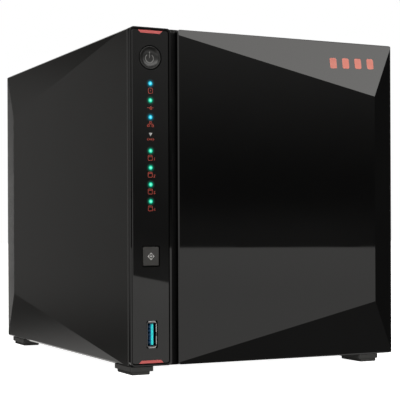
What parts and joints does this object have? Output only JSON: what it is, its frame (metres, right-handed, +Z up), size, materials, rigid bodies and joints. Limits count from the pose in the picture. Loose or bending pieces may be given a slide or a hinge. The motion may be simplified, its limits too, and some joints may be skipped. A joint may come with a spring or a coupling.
{
  "type": "network storage enclosure",
  "caption": "Desktop network storage enclosure: faceted satin cover, gloss control column with lights, button and socket, and a lift-off gloss door over drive trays.",
  "frame": {"origin": "centre of the footprint on the table, under the feet", "axes": "+Z up, the door and the control column face -Y, the drive bays stand side by side along X"},
  "size_m": [0.174, 0.2328, 0.189],
  "materials": {
    "cover_paint": "satin black powder coat",
    "panel_paint": "satin black powder coat",
    "steel_plate": "satin black paint",
    "foot_plastic": "matt black moulding",
    "foot_rubber": "matt rubber",
    "frame_plastic": "matt black moulding",
    "zinc_steel": "zinc-plated sheet",
    "fascia_gloss": "gloss black",
    "door_gloss": "gloss black",
    "accent_red": "gloss coral red",
    "light_blue": "lit blue light pipe",
    "light_green": "lit green light pipe",
    "light_white": "translucent white light pipe",
    "button_gloss": "gloss black",
    "button_matt": "matt dark grey",
    "board_green": "green solder mask",
    "switch_plastic": "matt black",
    "socket_steel": "nickel-plated sheet",
    "tongue_blue": "bright blue",
    "magnet_nickel": "nickel plate",
    "guide_plastic": "natural grey moulding",
    "connector_plastic": "matt black",
    "brass": "turned",
    "heatsink_aluminium": "anodised",
    "chip_black": "epoxy package",
    "screw_steel": "zinc plate",
    "fan_plastic": "glass-filled black",
    "tray_plastic": "matt black moulding",
    "lever_plastic": "fine-textured black",
    "latch_grey": "matt grey"
  },
  "bodies": {
    "base": {"accents": "accent_red", "backplane": "board_green", "base_pan": "steel_plate", "board_chips": "chip_black", "board_standoffs": "brass", "cage_brackets": "zinc_steel", "cage_floor": "zinc_steel", "cage_guides": "guide_plastic", "cage_left": "zinc_steel", "cage_right": "zinc_steel", "cage_roof": "zinc_steel", "column_rim": "fascia_gloss", "control_fascia": "fascia_gloss", "cpu_heatsink": "heatsink_aluminium", "dc_jack": "connector_plastic", "fan_frame": "fan_plastic", "foot_blocks": "foot_plastic", "foot_pads": "foot_rubber", "front_board": "board_green", "front_frame": "frame_plastic", "front_usb_shell": "socket_steel", "lan_port": "socket_steel", "light_mark": "light_white", "lights_blue": "light_blue", "lights_green": "light_green", "main_board": "board_green", "outer_cover": "cover_paint", "rear_panel": "panel_paint", "rear_usb_shells": "socket_steel", "sata_connectors": "connector_plastic", "screws": "screw_steel", "strike_plates": "zinc_steel", "tact_switches": "switch_plastic", "usb_tongues": "tongue_blue"},
    "door": {"front_door": "door_gloss", "door_magnets": "magnet_nickel"},
    "power": {"power_button": "button_gloss"},
    "copy": {"copy_button": "button_matt"},
    "reset": {"reset_button": "connector_plastic"},
    "rotor": {"fan_rotor": "fan_plastic"},
    "tray_1": {"tray_bezel_1": "tray_plastic", "tray_plate_1": "tray_plastic", "tray_rails_1": "tray_plastic"},
    "lever_1": {"tray_lever_1": "lever_plastic"},
    "latch_1": {"tray_latch_1": "latch_grey"},
    "tray_2": {"tray_bezel_2": "tray_plastic", "tray_plate_2": "tray_plastic", "tray_rails_2": "tray_plastic"},
    "lever_2": {"tray_lever_2": "lever_plastic"},
    "latch_2": {"tray_latch_2": "latch_grey"},
    "tray_3": {"tray_bezel_3": "tray_plastic", "tray_plate_3": "tray_plastic", "tray_rails_3": "tray_plastic"},
    "lever_3": {"tray_lever_3": "lever_plastic"},
    "latch_3": {"tray_latch_3": "latch_grey"},
    "tray_4": {"tray_bezel_4": "tray_plastic", "tray_plate_4": "tray_plastic", "tray_rails_4": "tray_plastic"},
    "lever_4": {"tray_lever_4": "lever_plastic"},
    "latch_4": {"tray_latch_4": "latch_grey"}
  },
  "joints": [
    {"name": "door_slide", "type": "slide", "parent": "base", "child": "door", "axis": [0, -1, 0], "range_m": [0, 0.3]},
    {"name": "tray_1_slide", "type": "slide", "parent": "base", "child": "tray_1", "axis": [0, -1, 0], "range_m": [0, 0.18]},
    {"name": "lever_1_hinge", "type": "hinge", "parent": "tray_1", "child": "lever_1", "pos_m": [-0.03871, -0.10445, 0.04515], "axis": [1, 0, 0], "range_deg": [0, 30]},
    {"name": "latch_1_slide", "type": "slide", "parent": "lever_1", "child": "latch_1", "axis": [0, 0, -1], "range_m": [0, 0.003], "stiffness_N_per_m": 150},
    {"name": "tray_2_slide", "type": "slide", "parent": "base", "child": "tray_2", "axis": [0, -1, 0], "range_m": [0, 0.18]},
    {"name": "lever_2_hinge", "type": "hinge", "parent": "tray_2", "child": "lever_2", "pos_m": [-0.00434, -0.10445, 0.04515], "axis": [1, 0, 0], "range_deg": [0, 30]},
    {"name": "latch_2_slide", "type": "slide", "parent": "lever_2", "child": "latch_2", "axis": [0, 0, -1], "range_m": [0, 0.003], "stiffness_N_per_m": 150},
    {"name": "tray_3_slide", "type": "slide", "parent": "base", "child": "tray_3", "axis": [0, -1, 0], "range_m": [0, 0.18]},
    {"name": "lever_3_hinge", "type": "hinge", "parent": "tray_3", "child": "lever_3", "pos_m": [0.03004, -0.10445, 0.04515], "axis": [1, 0, 0], "range_deg": [0, 30]},
    {"name": "latch_3_slide", "type": "slide", "parent": "lever_3", "child": "latch_3", "axis": [0, 0, -1], "range_m": [0, 0.003], "stiffness_N_per_m": 150},
    {"name": "tray_4_slide", "type": "slide", "parent": "base", "child": "tray_4", "axis": [0, -1, 0], "range_m": [0, 0.18]},
    {"name": "lever_4_hinge", "type": "hinge", "parent": "tray_4", "child": "lever_4", "pos_m": [0.06441, -0.10445, 0.04515], "axis": [1, 0, 0], "range_deg": [0, 30]},
    {"name": "latch_4_slide", "type": "slide", "parent": "lever_4", "child": "latch_4", "axis": [0, 0, -1], "range_m": [0, 0.003], "stiffness_N_per_m": 150},
    {"name": "power_press", "type": "slide", "parent": "base", "child": "power", "axis": [0, 1, 0], "range_m": [0, 0.001], "stiffness_N_per_m": 400},
    {"name": "copy_press", "type": "slide", "parent": "base", "child": "copy", "axis": [0, 1, 0], "range_m": [0, 0.001], "stiffness_N_per_m": 400},
    {"name": "reset_press", "type": "slide", "parent": "base", "child": "reset", "axis": [0, -1, 0], "range_m": [0, 0.0006], "stiffness_N_per_m": 400},
    {"name": "fan_spin", "type": "hinge", "parent": "base", "child": "rotor", "pos_m": [0.01285, 0.10035, 0.09675], "axis": [0, 1, 0], "continuous": true}
  ],
  "couplings": [
    {"joint": "tray_1_slide", "follows": "door_slide", "ratio": 0.6},
    {"joint": "lever_1_hinge", "follows": "door_slide", "rad_per_m": 1.7453},
    {"joint": "tray_2_slide", "follows": "door_slide", "ratio": 0.6},
    {"joint": "lever_2_hinge", "follows": "door_slide", "rad_per_m": 1.7453},
    {"joint": "tray_3_slide", "follows": "door_slide", "ratio": 0.6},
    {"joint": "lever_3_hinge", "follows": "door_slide", "rad_per_m": 1.7453},
    {"joint": "tray_4_slide", "follows": "door_slide", "ratio": 0.6},
    {"joint": "lever_4_hinge", "follows": "door_slide", "rad_per_m": 1.7453}
  ]
}
